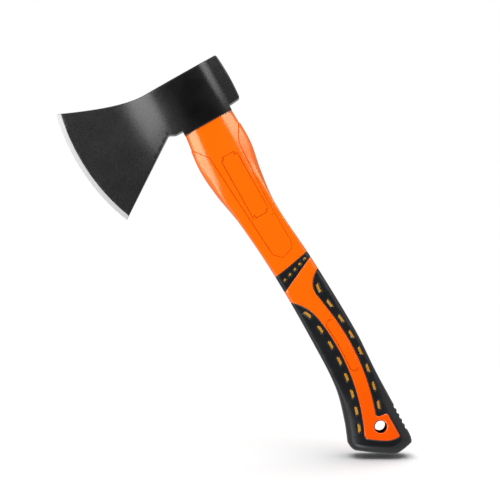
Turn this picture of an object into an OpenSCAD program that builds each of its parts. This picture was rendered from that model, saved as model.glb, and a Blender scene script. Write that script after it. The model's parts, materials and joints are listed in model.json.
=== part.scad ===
// Hatchet: forged steel head on a fibreglass handle with a moulded jacket and rubber grip.
// Millimetres. Origin at the centre of the hang hole, +Z along the handle to the head,
// -X towards the cutting edge, Y across the thickness.

/* [Head] */
// Reach of the cutting edge ahead of the hang hole
edge_reach = 113.6; // [106:0.2:122]
// Reach of the poll face behind the hang hole
poll_reach = 33.5; // [31:0.1:40]
// Height of the steel body at the eye
eye_h = 42.2; // [38:0.2:48]
// Height of the collar under the eye
collar_h = 4.4; // [3:0.1:7]
// Lip of the collar in front of and behind the top of the handle
collar_lip = 0.2; // [0.1:0.1:1]
// Radius of the curved cutting edge
edge_r = 176; // [150:1:220]
// Height of the foremost point of the edge above the head seat
edge_mid_h = 28.9; // [24:0.1:34]
// Height of the toe above the head seat
toe_h = 69.7; // [64:0.1:76]
// Depth of the heel below the head seat
heel_drop = 37.2; // [30:0.1:44]
// Reach of the flat top ahead of the hang hole
top_flat_reach = 36; // [30:0.5:44]
// Reach at which the top line starts to climb to the toe
top_rise_reach = 58; // [50:0.5:66]
// Reach of the notch between the beard and the eye
notch_reach = 35.4; // [33:0.1:38]
// Height of the notch above the underside of the eye
notch_h = 2.9; // [2:0.1:5]
// Run of the slope from the notch down to the underside
notch_run = 5.4; // [4:0.2:8]
// Rounding of the notch and of the foot of its slope
notch_corner = 1.4; // [0.6:0.1:2]
// Rise of the underside from the collar to the poll
poll_rise = 1; // [0.2:0.1:2]
// Thickness across the cheeks of the eye
eye_t = 30; // [28:0.2:36]
// Thickness of the poll behind the cheeks
poll_t = 25.6; // [23:0.2:28]
// Thickness of the poll at its face
poll_face_t = 24.4; // [21:0.2:27]
// Thickness of the blade where the eye starts to swell
blade_t = 10; // [7:0.1:13]
// Reach at which the eye starts to swell
swell_reach = 56; // [50:0.5:60]
// Reach of the front of the flat cheek
cheek_front = 18; // [14:0.5:22]
// Reach of the back of the flat cheek
cheek_back = 12; // [8:0.5:15]
// Reach at which the poll reaches its own thickness
poll_front = 25; // [22:0.5:28]
// Thickness of the blade behind the ground bevel
bevel_t = 2.6; // [1.6:0.1:4]
// Width of the ground bevel
bevel_w = 3.8; // [2.5:0.1:6]
// Flat left along the cutting edge
edge_land = 0.3; // [0.1:0.05:0.6]
// Radius on the corners of the poll
poll_corner = 2.2; // [1:0.1:4]
// Length of the eye hole
eye_hole_l = 31; // [27:0.2:34]
// Width of the eye hole
eye_hole_w = 18; // [16:0.2:21]
// Squareness of the eye hole and the core, where 2 is an ellipse
eye_power = 2.7; // [2.2:0.1:3.2]
// Depth of the resin and the core below the top of the eye
resin_recess = 1.2; // [0.4:0.1:4]

/* [Handle outline] */
// Height of the head seat above the hang hole
seat_z = 292.6; // [282:0.2:310]
// Reach of the front at the head seat
seat_front = 23.6; // [21:0.1:26]
// Reach of the back at the head seat
seat_back = 22; // [20:0.1:24]
// Thickness at the head seat
seat_t = 26; // [24.5:0.1:29]
// Height of the shoulder
shoulder_z = 262; // [254:0.5:270]
// Reach of the front at the shoulder
shoulder_front = 26.9; // [24:0.1:30]
// Reach of the back at the shoulder
shoulder_back = 22.4; // [20:0.1:25]
// Height of the neck
neck_z = 237; // [228:0.5:244]
// Reach of the front at the neck
neck_front = 25.1; // [23:0.1:28]
// Reach of the back at the neck
neck_back = 18.1; // [17:0.1:21]
// Height of the waist
waist_z = 205; // [194:0.5:214]
// Reach of the front at the waist
waist_front = 19.5; // [18:0.1:23]
// Reach of the back at the waist
waist_back = 15; // [14.5:0.1:18]
// Thickness at the waist
waist_t = 25.4; // [24.5:0.1:28]
// Height of the throat
throat_z = 150; // [140:0.5:160]
// Reach of the front at the throat
throat_front = 15.4; // [14.5:0.1:18]
// Reach of the back at the throat
throat_back = 19; // [17.5:0.1:22]
// Height of the palm swell
palm_z = 81; // [72:0.5:92]
// Reach of the front at the palm swell
palm_front = 15; // [14.4:0.1:18]
// Reach of the back at the palm swell
palm_back = 21.3; // [20:0.1:24]
// Thickness at the palm swell
palm_t = 27; // [25:0.1:31]
// Height of the little finger
finger_z = 46; // [40:0.5:52]
// Reach of the front at the little finger
finger_front = 16.9; // [16:0.1:20]
// Reach of the back at the little finger
finger_back = 19.5; // [18.5:0.1:22]
// Height of the flare
flare_z = 19; // [15:0.5:24]
// Reach of the front at the flare
flare_front = 23.9; // [22:0.1:27]
// Reach of the back at the flare
flare_back = 19; // [18:0.1:22]
// Squareness of the handle's section, where 2 is an ellipse
box_power = 4; // [3:0.5:6]
// Lean of the facets that cut the section's corners
facet_lean = 0.9; // [0.75:0.05:1.05]
// Reach of the facets from the middle of the section
facet_reach = 1.45; // [1.38:0.01:1.6]
// Sharpness of the edges of the facets
facet_power = 20; // [8:1:30]

/* [Butt] */
// Reach of the front corner of the butt
butt_front = 31.8; // [29:0.1:35]
// Reach of the back corner of the butt
butt_back = 18.4; // [17.5:0.1:21]
// Thickness of the butt
butt_t = 28; // [26:0.1:32]
// Height at which the front corner starts to round, above the hang hole
butt_front_z = -1.6; // [-2:0.1:3]
// Depth at which the back corner starts to round, below the hang hole
butt_back_drop = 20.2; // [18:0.1:23]
// Slope of the butt from its front corner
butt_front_slope = 34.6; // [33:0.1:40]
// Slope of the butt up to its back corner
butt_back_slope = 10; // [6:0.5:16]
// Radius on the rim of the butt
butt_rim = 4; // [2:0.1:5]
// Height over which the sections lean to the slope of the butt
butt_lean_z = 45; // [40:0.5:52]
// Number of thumb notches on the back of the butt
thumb_n = 5; // [3:1:6]
// Spacing of the thumb notches
thumb_pitch = 4.9; // [4.4:0.05:5.2]
// Height of the top thumb notch above the hang hole
thumb_z = 7.8; // [5:0.1:9]
// Radius of a thumb notch
thumb_r = 2.3; // [1.4:0.1:2.6]
// Depth of a thumb notch
thumb_d = 1.2; // [0.4:0.1:1.4]

/* [Core] */
// Length of the fibreglass core's section
core_l = 20; // [16:0.2:21]
// Width of the fibreglass core's section
core_w = 12; // [9:0.2:14]
// Offset of the core and the eye hole behind the hang hole
core_x = 0.4; // [0:0.1:1]
// Height of the bottom of the core above the hang hole
core_z = 30; // [24:0.5:60]

/* [Grip] */
// Thickness of the rubber over the jacket
grip_wall = 2.4; // [1.8:0.1:2.8]
// Width of the strip between the two rows of dashes
strip_w = 11.5; // [10.5:0.1:12.5]
// Radius to which the strip bends
strip_r = 183; // [170:1:200]
// Reach of the strip's middle at its furthest point back
strip_back = 6.8; // [6:0.1:7.4]
// Height of the strip's furthest point back
strip_z = 75.3; // [72:0.1:79]
// Height at which the strip starts to widen into the tongue
tongue_z = 104; // [100:0.5:107]
// Gap between the band and the grip's front tip
front_tip_gap = 10.2; // [8:0.2:13]
// Gap between the band and the grip's rear tip
rear_tip_gap = 11.2; // [9:0.2:13]
// Height of the hang hole plate's top edge
plate_top = 7.4; // [6.5:0.1:9]
// Reach of the hang hole plate's back edge
plate_back = 10.5; // [9.5:0.1:12]
// Depth of the hang hole plate below the hole
plate_drop = 15.6; // [14:0.1:17]
// Depth of the plate's front corner below the hole
plate_heel = 2.4; // [1:0.1:4]
// Lift of the bend in the plate's lower edge
plate_lift = 1.7; // [0.6:0.1:2.6]
// Rise of the plate's top edge towards the strip
plate_rise = 0.8; // [0.2:0.1:1.6]
// Length of the curve at the plate's back corners
plate_corner = 2.5; // [1.5:0.1:3]
// Length of the curve at the plate's lower corners
plate_nook = 3.4; // [2:0.1:4]
// Length of the curve where the plate runs into the back of the strip
plate_sweep = 5; // [3:0.1:6]
// Height of the band's lower edge at the front
band_low_z = 137.2; // [135:0.2:139]
// Height of the band at the front edge
band_front_h = 15; // [13:0.2:17]
// Height of the band at the back edge
band_back_h = 5.4; // [4.6:0.2:7]
// Rise of the band's lower edge from front to back
band_rise = 15.6; // [14:0.2:16.5]
// Sag of the band's upper edge
band_sag = 0.3; // [0:0.05:0.6]

/* [Inlays] */
// Number of dashes in a row
dash_n = 8; // [4:1:8]
// Length of a dash
dash_l = 8.2; // [6:0.1:9]
// Width of a dash
dash_w = 2.4; // [1.6:0.1:3]
// Distance of the dashes from the edge of the strip
dash_gap = 4.2; // [3.8:0.1:4.6]
// Drop of the top dash below the grip's front tip
front_dash_drop = 15.4; // [14.4:0.2:17]
// Spacing of the top two dashes in front of the strip
front_dash_pitch = 15.9; // [15:0.1:16.2]
// How much each spacing in front of the strip closes up towards the butt
front_dash_close = 0.36; // [0.2:0.02:0.5]
// Drop of the top dash below the grip's rear tip
rear_dash_drop = 15.1; // [14:0.2:16]
// Spacing of the dashes behind the strip
rear_dash_pitch = 15.68; // [15:0.02:15.8]
// Number of dots on a face of the band
dot_n = 5; // [3:1:5]
// Diameter of a dot
dot_d = 2.8; // [2:0.1:3]
// Spacing of the dots along the handle's width
dot_pitch = 5.85; // [5:0.05:6]
// Offset of the middle dot behind the hang hole
dot_x = 2; // [1:0.1:3]
// Sweep of the top dash in each row away from the strip
dash_hook = 2.2; // [0:0.1:2.6]
// How far the inlays stand proud of the rubber
inlay_proud = 0.25; // [0.1:0.05:0.5]

/* [Jacket] */
// Depth of the sunk panels of the neck
panel_d = 0.5; // [0.3:0.05:0.9]
// Height of the lower end of a neck panel
panel_low_z = 163; // [161:0.5:170]
// Reach of a panel's front edge where it turns out to the shoulder
panel_front = 15; // [12:0.1:17]
// Reach of a panel's back edge where it turns out to the shoulder
panel_back = 13.8; // [11.5:0.1:16]
// Height above the shoulder at which a panel turns out
panel_turn = 4.3; // [2:0.1:8]
// Height above the shoulder at which a panel reaches the handle's edges
panel_end = 19; // [14:0.2:24]
// Reach of the front of a panel's foot
foot_front = 8.6; // [7.5:0.1:10]
// Reach of the back of a panel's foot
foot_back = 11.8; // [10:0.1:12.6]
// Reach of the lowest point of a panel's foot
foot_tip = 2; // [0:0.1:4]
// Rise of a panel's foot towards the back
foot_rise = 3.4; // [2:0.1:5]
// Height of the slanted corners of a panel's foot
foot_cut = 6.4; // [4:0.1:9]
// Width of the slanted back corner of a panel's foot
foot_corner = 3; // [2:0.1:4]
// Width of the groove round the bare label
groove_w = 0.9; // [0.6:0.1:1.4]
// Depth of the moulded grooves
groove_d = 0.35; // [0.2:0.05:0.6]
// Width of the bare label
label_w = 15.8; // [12:0.2:16]
// Height of the middle of the bare label
label_z = 232.2; // [228:0.2:236]
// Length of the bare label
label_l = 58.6; // [40:0.2:62]
// Notch in each corner of the bare label
label_notch = 2.4; // [1.2:0.1:3]
// Width of the capsule on the strip
capsule_w = 8.8; // [7:0.1:9.4]
// Height of the capsule's lower end
capsule_z = 51; // [48:0.2:56]
// Length of the capsule
capsule_l = 48.2; // [40:0.2:50]

/* [Hang hole] */
// Radius of the hang hole
hole_r = 4.8; // [4:0.05:5.4]
// Wall of the hang hole's liner
liner_wall = 0.6; // [0.5:0.05:1]
// Depth of the liner's ends below the thickness of the butt
liner_recess = 1.5; // [1:0.1:2.5]
// Radius of the dish round the hang hole
dish_r = 7.4; // [6.8:0.1:8.6]

/* [Hidden] */
$fn = 96;

steel_black = "#353434";
resin_black = "#1b1a19";
fibre_cream = "#d8cfa8";
jacket_orange = "#fe7302";
rubber_black = "#2b2c2e";
inlay_amber = "#c98a24";

// Room past a surface for a cut to run out
past = 20;
// Points round an oval, sides of the handle and sections along it
oval_n = 40;
side_n = 32;
level_n = 36;
rim_n = 3;
// Points along a curve, at a rounded corner or end, and round the edge
curve_n = 10;
corner_n = 5;
end_n = 8;
edge_n = 200;

underside_z = seat_z + collar_h;
eye_top_z = underside_z + eye_h;
edge_centre = [edge_r - edge_reach, seat_z + edge_mid_h];
liner_r = hole_r + liner_wall;
liner_l = butt_t - 2 * liner_recess;
front_tip_z = band_low_z - front_tip_gap;
rear_tip_z = band_low_z + band_rise - rear_tip_gap;
front_dash_z = front_tip_z - front_dash_drop;
rear_dash_z = rear_tip_z - rear_dash_drop;

function lerp(a, b, t) = a + (b - a) * t;
function smooth(t) = let (c = min(max(t, 0), 1)) c * c * (3 - 2 * c);

// Quadratic curve from a to c that leaves towards b and arrives from it
function bend(a, b, c, n = curve_n) = [
    for (i = [0:n]) let (t = i / n) lerp(lerp(a, b, t), lerp(b, c, t), t)
];

// Corner b of an outline, rounded over a length of r on each side
function corner(a, b, c, r) =
    bend(b + r * (a - b) / norm(a - b), b, b + r * (c - b) / norm(c - b), corner_n);

// Oval of the eye with half length a and half width b
function oval(a, b) = [
    for (i = [0:oval_n - 1]) let (q = 360 * i / oval_n)
        [a * flat_power(cos(q), 2 / eye_power), b * flat_power(sin(q), 2 / eye_power)]
];
function flat_power(v, e) = sign(v) * pow(abs(v), e);

// Section of the handle on reaches of 1: a rounded box with facets across its corners
function section(n) = [
    for (i = [0:n - 1])
        let (
            q = 360 * i / n,
            c = abs(cos(q)),
            s = abs(sin(q)),
            box = pow(pow(c, box_power) + pow(s, box_power), 1 / box_power),
            facet = (facet_lean * c + s) / facet_reach,
            r = pow(pow(box, facet_power) + pow(facet, facet_power), -1 / facet_power)
        )
        r * [cos(q), sin(q)]
];

// Smooth line through stations [height, reach], with heights climbing
function span(p, z, i = 0) = i >= len(p) - 2 || z < p[i + 1][0] ? i : span(p, z, i + 1);
function tilt(p, i) =
    let (a = p[max(i - 1, 0)], b = p[min(i + 1, len(p) - 1)]) (b[1] - a[1]) / (b[0] - a[0]);
function line_at(p, height) =
    let (
        z = min(max(height, p[0][0]), p[len(p) - 1][0]),
        i = span(p, z),
        h = p[i + 1][0] - p[i][0],
        t = (z - p[i][0]) / h,
        u = 1 - t
    )
    u * u * (1 + 2 * t) * p[i][1] + t * t * (3 - 2 * t) * p[i + 1][1]
    + h * t * u * (u * tilt(p, i) - t * tilt(p, i + 1));

// Handle: outline stations from the butt to the head seat
front_line = [
    [butt_front_z, butt_front], [flare_z, flare_front], [finger_z, finger_front], [palm_z, palm_front],
    [throat_z, throat_front], [waist_z, waist_front], [neck_z, neck_front],
    [shoulder_z, shoulder_front], [seat_z, seat_front]
];
back_line = [
    [-butt_back_drop, butt_back], [flare_z, flare_back], [finger_z, finger_back], [palm_z, palm_back],
    [throat_z, throat_back], [waist_z, waist_back], [neck_z, neck_back],
    [shoulder_z, shoulder_back], [seat_z, seat_back]
];
thick_line = [
    [-butt_back_drop, butt_t], [flare_z, butt_t], [palm_z, palm_t], [waist_z, waist_t], [seat_z, seat_t]
];

// Lower rim of the butt across the handle, s from -1 at the front to 1 at the back
butt_half = (butt_front + butt_back) / 2;
function butt_z(s) =
    let (
        a = butt_front_z - (1 + s) * butt_half * tan(butt_front_slope),
        b = -butt_back_drop - (1 - s) * butt_half * tan(butt_back_slope)
    )
    (a + b + sqrt((a - b) * (a - b) + butt_rim * butt_rim)) / 2;
butt_low = -butt_back_drop;
function level_z(s, t) =
    t + (butt_z(s) - butt_low) * min(max((butt_lean_z - t) / (butt_lean_z - butt_low), 0), 1);
levels = [for (i = [0:level_n]) lerp(butt_low, seat_z, i / level_n)];

// One section of the handle at a level, drawn in by inset and lowered by drop
function ring(t, inset, drop) =
    let (
        front = line_at(front_line, level_z(-1, t)) - inset,
        back = line_at(back_line, level_z(1, t)) - inset,
        half = line_at(thick_line, t) / 2 - inset
    )
    [
        for (p = section(side_n))
            [lerp(-front, back, (p[0] + 1) / 2), half * p[1], level_z(p[0], t) - drop]
    ];

// Handle body between two levels, drawn in by inset; from level 0 it has the rim of the butt
module handle_body(first, last, inset = 0) {
    rim = first > 0 ? [] : [
        for (i = [rim_n:-1:1]) let (q = 90 * i / rim_n)
            ring(levels[0], inset + butt_rim * (1 - cos(q)), butt_rim * sin(q))
    ];
    rings = concat(rim, [for (i = [first:last]) ring(levels[i], inset, 0)]);
    top = (len(rings) - 1) * side_n;
    half_n = side_n / 2;
    polyhedron(
        points = [for (r = rings, p = r) p],
        faces = concat(
            [
                for (i = [0:len(rings) - 2], k = [0:side_n - 1])
                    let (a = i * side_n + k, b = i * side_n + (k + 1) % side_n)
                        each [[a, a + side_n, b + side_n], [a, b + side_n, b]]
            ],
            [for (k = [0:half_n - 1]) each cap(k, 0)],
            [for (k = [0:half_n - 1], f = cap(k, top)) [f[2], f[1], f[0]]]
        )
    );
}
// Two triangles of an end face between the sides of the handle
function cap(k, start) =
    let (
        a = start + k,
        b = start + k + 1,
        c = start + (side_n - k - 1) % side_n,
        d = start + (side_n - k) % side_n
    )
    a == d ? [[a, b, c]] : b == c ? [[a, b, d]] : [[a, b, c], [a, c, d]];

// Level at or below a height, and at or above it
function below(z) = max(0, floor((z - butt_low) / (seat_z - butt_low) * level_n));
function above(z) = min(level_n, ceil((z - butt_low) / (seat_z - butt_low) * level_n));

// A flat pattern in X and Z, cut through the whole thickness
module through(pattern) {
    rotate([90, 0, 0])
        linear_extrude(height = 2 * (butt_t + past), center = true)
            polygon(pattern);
}

// A cut of one depth into the surface of the handle, inside what it is given
module sunk(depth, low_z, high_z) {
    difference() {
        children();
        handle_body(max(below(low_z) - 1, 1), above(high_z), depth);
    }
}

// A groove of the moulded width between an outline and the same outline drawn in
module groove(outer, inner, depth, low_z, high_z) {
    sunk(depth, low_z, high_z)
        difference() {
            through(outer);
            through(inner);
        }
}

// Strip: its edges bend round one centre, the back edge runs straight above the tongue's start
strip_centre_x = strip_back - strip_r;
function strip_edge(z, side) =
    let (
        r = strip_r + side * strip_w / 2,
        zz = side > 0 ? min(z, tongue_z) : z,
        x = strip_centre_x + sqrt(r * r - (zz - strip_z) * (zz - strip_z))
    )
    x - (z - zz) * (tongue_z - strip_z) / r;
function strip_lean(z) = asin((min(z, tongue_z) - strip_z) / strip_r);

// Outline inside which the jacket shows, from the neck down to the hang hole plate
tongue_pull = 2.8;
front_turn = 0.63;
rear_start = 0.41;
rear_turn = 0.74;
rear_share = 0.67;
front_tip = [-line_at(front_line, front_tip_z), front_tip_z];
rear_tip = [line_at(back_line, rear_tip_z), rear_tip_z];
front_pull = [strip_edge(tongue_z, -1) - tongue_pull, lerp(tongue_z, front_tip_z, front_turn)];
rear_start_z = lerp(tongue_z, rear_tip_z, rear_start);
rear_pull = [strip_edge(rear_start_z, 1) - tongue_pull, lerp(tongue_z, rear_tip_z, rear_turn)];
rear_end = lerp(rear_pull, rear_tip, rear_share);
heel_end = [strip_edge(-plate_heel, -1), -plate_heel];
heel_start = [strip_edge(plate_heel, -1), plate_heel];
plate_low = [0, plate_lift - plate_drop];
plate_foot = [plate_back, -plate_drop];
plate_head = [plate_back, plate_top];
plate_neck = [strip_edge(plate_top, 1), plate_top + plate_rise];
neck_end = [strip_edge(2 * plate_top, 1), 2 * plate_top];
jacket_window = concat(
    [[-2 * butt_front, seat_z + past], [-2 * butt_front, front_tip_z + past], 2 * front_tip - front_pull],
    bend(front_tip, front_pull, [strip_edge(tongue_z, -1), tongue_z]),
    [for (i = [1:curve_n]) let (z = lerp(tongue_z, 2 * plate_top, i / curve_n)) [strip_edge(z, -1), z]],
    corner(heel_start, heel_end, plate_low, plate_nook),
    corner(heel_end, plate_low, plate_foot, plate_nook),
    corner(plate_low, plate_foot, plate_head, plate_corner),
    corner(plate_foot, plate_head, plate_neck, plate_corner),
    corner(plate_head, plate_neck, neck_end, plate_sweep),
    [for (i = [0:curve_n]) let (z = lerp(2 * plate_top, tongue_z, i / curve_n)) [strip_edge(z, 1), z]],
    bend([strip_edge(rear_start_z, 1), rear_start_z], rear_pull, rear_end),
    [rear_tip, 2 * rear_tip - rear_end],
    [[2 * butt_front, rear_tip_z + past], [2 * butt_front, seat_z + past]]
);

// Band: its lower edge is straight, its upper edge sags a little
band_front_x = -line_at(front_line, band_low_z);
band_back_x = line_at(back_line, band_low_z + band_rise);
function band_low(x) = band_low_z + band_rise * (x - band_front_x) / (band_back_x - band_front_x);
function band_top(x) =
    let (u = (x - band_front_x) / (band_back_x - band_front_x))
    band_low(x) + lerp(band_front_h, band_back_h, u) - 4 * band_sag * u * (1 - u);
band_zone = concat(
    [for (i = [0:curve_n]) let (x = lerp(2 * band_front_x, 2 * band_back_x, i / curve_n)) [x, band_top(x)]],
    [for (x = [2 * band_back_x, 2 * band_front_x]) [x, band_low(x)]]
);

// Sunk panel of the neck: it narrows to its foot and turns out to the edges above the shoulder
panel_turn_z = shoulder_z + panel_turn;
panel_end_z = shoulder_z + panel_end;
panel = [
    [-shoulder_front, seat_z + past], [-shoulder_front, panel_end_z], [-panel_front, panel_turn_z],
    [-foot_front, panel_low_z + foot_cut], [-foot_tip, panel_low_z],
    [foot_back - foot_corner, panel_low_z + foot_rise], [foot_back, panel_low_z + foot_rise + foot_cut],
    [panel_back, panel_turn_z], [shoulder_back, panel_end_z], [shoulder_back, seat_z + past]
];

// Outline of the bare label with a square notch in each corner, drawn in by inset
function label(inset) =
    let (
        a = label_w / 2 - inset,
        b = label_l / 2 - inset,
        n = label_notch,
        quarter = [[a, b - n], [a - n, b - n], [a - n, b]],
        turned = [quarter[2], quarter[1], quarter[0]]
    )
    [
        for (q = [[1, 1], [-1, 1], [-1, -1], [1, -1]])
            for (p = q[0] * q[1] > 0 ? quarter : turned)
                [q[0] * p[0], label_z + q[1] * p[1]]
    ];

// Capsule that bends with the strip
function capsule(half) =
    let (low = capsule_z + capsule_w / 2, high = capsule_z + capsule_l - capsule_w / 2)
    concat(
        [for (i = [0:curve_n]) strip_point(high, half, 180 * i / curve_n)],
        [for (i = [1:curve_n - 1]) strip_point(lerp(high, low, i / curve_n), half, 180)],
        [for (i = [0:curve_n]) strip_point(low, half, 180 + 180 * i / curve_n)],
        [for (i = [1:curve_n - 1]) strip_point(lerp(low, high, i / curve_n), half, 0)]
    );
function strip_point(z, half, q) =
    let (x = (strip_edge(z, -1) + strip_edge(z, 1)) / 2, lean = strip_lean(z))
    [x + half * cos(q + lean), z + half * sin(q + lean)];

// Height of a dash, counted from the top of its row
function dash_height(side, k) =
    side < 0 ? front_dash_z - k * front_dash_pitch + k * (k - 1) / 2 * front_dash_close
    : rear_dash_z - k * rear_dash_pitch;
module dash_row(side) {
    for (k = [0:dash_n - 1])
        let (z = dash_height(side, k), lean = strip_lean(z))
            translate([strip_edge(z, side) + side * dash_gap / cos(lean), 0, z])
                rotate([0, -lean, 0])
                    through(dash_outline(k == 0 ? side * dash_hook : 0));
}
// A dash with round ends, its upper end swept sideways by hook
function dash_outline(hook) =
    let (
        half = dash_w / 2,
        straight = (dash_l - dash_w) / 2,
        ends = [
            for (turn = [0, 180], i = [0:end_n])
                let (q = turn + 180 * i / end_n) [half * cos(q), half * sin(q) + straight * cos(turn)]
        ]
    )
    [for (p = ends) let (u = p[1] / dash_l + 1 / 2) [p[0] + hook * u * u, p[1]]];
module dot_row() {
    for (k = [0:dot_n - 1])
        let (x = dot_x + (k - (dot_n - 1) / 2) * dot_pitch)
            translate([x, 0, (band_low(x) + band_top(x)) / 2])
                rotate([90, 0, 0])
                    cylinder(h = 2 * (butt_t + past), d = dot_d, center = true);
}

// Jacket under the rubber, from the butt to above the band
rubber_top = band_top(band_back_x) + grip_wall;
module under_rubber() {
    handle_body(1, above(rubber_top), grip_wall);
}

// Skin of rubber thickness over the jacket between two heights
module rubber_skin(low_z, high_z, proud = 0) {
    difference() {
        handle_body(below(low_z), above(high_z), -proud);
        under_rubber();
    }
}

// Head: point of the cutting edge at a height, then the side outline, plan and edge
function edge_point(z) =
    [edge_centre[0] - sqrt(edge_r * edge_r - (z - edge_centre[1]) * (z - edge_centre[1])), z];
module head_side() {
    toe = edge_point(seat_z + toe_h);
    heel = edge_point(seat_z - heel_drop);
    rise = [-top_rise_reach, eye_top_z];
    notch = [-notch_reach, underside_z + notch_h];
    slope_foot = [notch_run - notch_reach, underside_z];
    lip = collar_lip - panel_d;
    collar_front = [-seat_front - lip, underside_z];
    collar_back = [seat_back + lip, underside_z];
    under_poll = [poll_reach, underside_z + poll_rise];
    through(concat(
        corner([poll_reach, seat_z], [poll_reach, eye_top_z], [0, eye_top_z], poll_corner),
        bend([-top_flat_reach, eye_top_z], rise, toe),
        [toe + (toe - rise) * past / norm(toe - rise)],
        [heel + (heel - notch) * past / norm(heel - notch)],
        corner(heel, notch, slope_foot, notch_corner),
        corner(notch, slope_foot, collar_front, notch_corner),
        [collar_front, [collar_front[0], seat_z], [collar_back[0], seat_z], collar_back],
        corner(collar_back, under_poll, [poll_reach, eye_top_z], poll_corner)
    ));
}
// Half thickness of the eye, which swells out of the blade early and then rounds into the flat cheek
blade_sink = 1;
function cheek(x) =
    let (early = 1 - (x + cheek_front) * (x + cheek_front) / pow(swell_reach - cheek_front, 2))
    x < -cheek_front ? lerp(blade_t / 2 - blade_sink, eye_t / 2, smooth(early))
    : lerp(eye_t, poll_t, smooth((x - cheek_back) / (poll_front - cheek_back))) / 2;
module eye_plan() {
    swell_n = 16;
    fall_n = 8;
    poll = [poll_reach, poll_face_t / 2];
    half = concat(
        [for (i = [0:swell_n]) let (x = lerp(-swell_reach, -cheek_front, i / swell_n)) [x, cheek(x)]],
        [for (i = [0:fall_n]) let (x = lerp(cheek_back, poll_front, i / fall_n)) [x, cheek(x)]],
        corner([poll_front, poll_t / 2], poll, [poll_reach, 0], poll_corner)
    );
    translate([0, 0, seat_z - heel_drop - past])
        linear_extrude(height = heel_drop + toe_h + 2 * past)
            polygon(concat(half, [for (i = [len(half) - 1:-1:0]) [half[i][0], -half[i][1]]]));
}
// Blade that tapers evenly towards its round edge and ends in the ground bevel
module blade_disc() {
    bevel_r = edge_r - bevel_w;
    taper = (blade_t - bevel_t) / (edge_reach - swell_reach - bevel_w);
    hub = bevel_t + taper * bevel_r;
    translate([edge_centre[0], 0, edge_centre[1]])
        rotate([90, 0, 0])
            rotate_extrude($fn = edge_n)
                polygon([
                    [0, -hub / 2], [bevel_r, -bevel_t / 2], [edge_r, -edge_land / 2],
                    [edge_r, edge_land / 2], [bevel_r, bevel_t / 2], [0, hub / 2]
                ]);
}
module eye_hole(low_z, high_z) {
    translate([core_x, 0, low_z])
        linear_extrude(height = high_z - low_z)
            polygon(oval(eye_hole_l / 2, eye_hole_w / 2));
}
module core_rod(low_z, high_z) {
    translate([core_x, 0, low_z])
        linear_extrude(height = high_z - low_z)
            polygon(oval(core_l / 2, core_w / 2));
}

// Forged head with its collar, ground on both sides of the edge
module axe_head() {
    color(steel_black)
        difference() {
            intersection() {
                head_side();
                union() {
                    eye_plan();
                    blade_disc();
                }
            }
            eye_hole(seat_z - past, eye_top_z + past);
        }
}

// Resin poured into the eye round the core
module eye_resin() {
    color(resin_black)
        difference() {
            eye_hole(seat_z, eye_top_z - resin_recess);
            core_rod(seat_z - past, eye_top_z + past);
        }
}

// Fibreglass core, level with the resin in the eye
module handle_core() {
    color(fibre_cream)
        core_rod(core_z, eye_top_z - resin_recess);
}

// Moulded jacket: full size on the neck and in the grip's windows, drawn in under the rubber
module handle_jacket() {
    color(jacket_orange)
        difference() {
            union() {
                difference() {
                    intersection() {
                        handle_body(0, level_n);
                        through(jacket_window);
                    }
                    through(band_zone);
                }
                under_rubber();
            }
            sunk(panel_d, panel_low_z, seat_z)
                through(panel);
            groove(
                label(0), label(groove_w),
                panel_d + groove_d, label_z - label_l / 2, label_z + label_l / 2
            );
            groove(
                capsule(capsule_w / 2), capsule(capsule_w / 2 - groove_w),
                groove_d, capsule_z, capsule_z + capsule_l
            );
            core_rod(core_z, seat_z + past);
            hang_hole();
        }
}

// Hole for the liner with a dish at each face
module hang_hole() {
    rotate([90, 0, 0])
        cylinder(h = butt_t + past, r = liner_r, center = true);
    for (side = [-1, 1])
        translate([0, side * liner_l / 2, 0])
            rotate([-90 * side, 0, 0])
                cylinder(h = 2 * liner_recess, r1 = liner_r, r2 = 2 * dish_r - liner_r);
}

// Rubber band round the throat
module grip_band() {
    color(rubber_black)
        difference() {
            intersection() {
                rubber_skin(band_low_z - past, rubber_top);
                through(band_zone);
            }
            dot_row();
        }
}

// Rubber grip and butt, open where the jacket shows
module grip_sleeve() {
    color(rubber_black)
        difference() {
            rubber_skin(-butt_back_drop, rear_tip_z + grip_wall);
            through(jacket_window);
            dash_row(-1);
            dash_row(1);
            thumb_notches();
        }
}
module thumb_notches() {
    for (k = [0:thumb_n - 1])
        let (z = thumb_z - k * thumb_pitch)
            translate([line_at(back_line, z) + thumb_r - thumb_d, 0, z])
                rotate([90, 0, 0])
                    cylinder(h = butt_t, r = thumb_r, center = true);
}

// Amber dashes set through the rubber on to the jacket, on both faces
module dash_inlays(side) {
    color(inlay_amber)
        intersection() {
            rubber_skin(-butt_back_drop, rear_tip_z, inlay_proud);
            dash_row(side);
        }
}
module front_dash_inlays() {
    dash_inlays(-1);
}
module rear_dash_inlays() {
    dash_inlays(1);
}

// Amber dots set through the band on to the jacket, on both faces
module band_dot_inlays() {
    color(inlay_amber)
        intersection() {
            rubber_skin(band_low_z - past, rubber_top, inlay_proud);
            dot_row();
        }
}

// Liner of the hang hole
module hang_hole_sleeve() {
    color(rubber_black)
        rotate([90, 0, 0])
            difference() {
                cylinder(h = liner_l, r = liner_r, center = true);
                cylinder(h = liner_l + past, r = hole_r, center = true);
            }
}

axe_head();
eye_resin();
handle_core();
handle_jacket();
grip_band();
grip_sleeve();
front_dash_inlays();
rear_dash_inlays();
band_dot_inlays();
hang_hole_sleeve();
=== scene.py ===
import json
import math

import bmesh
import bpy
import numpy as np
from mathutils import Matrix, Vector

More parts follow.
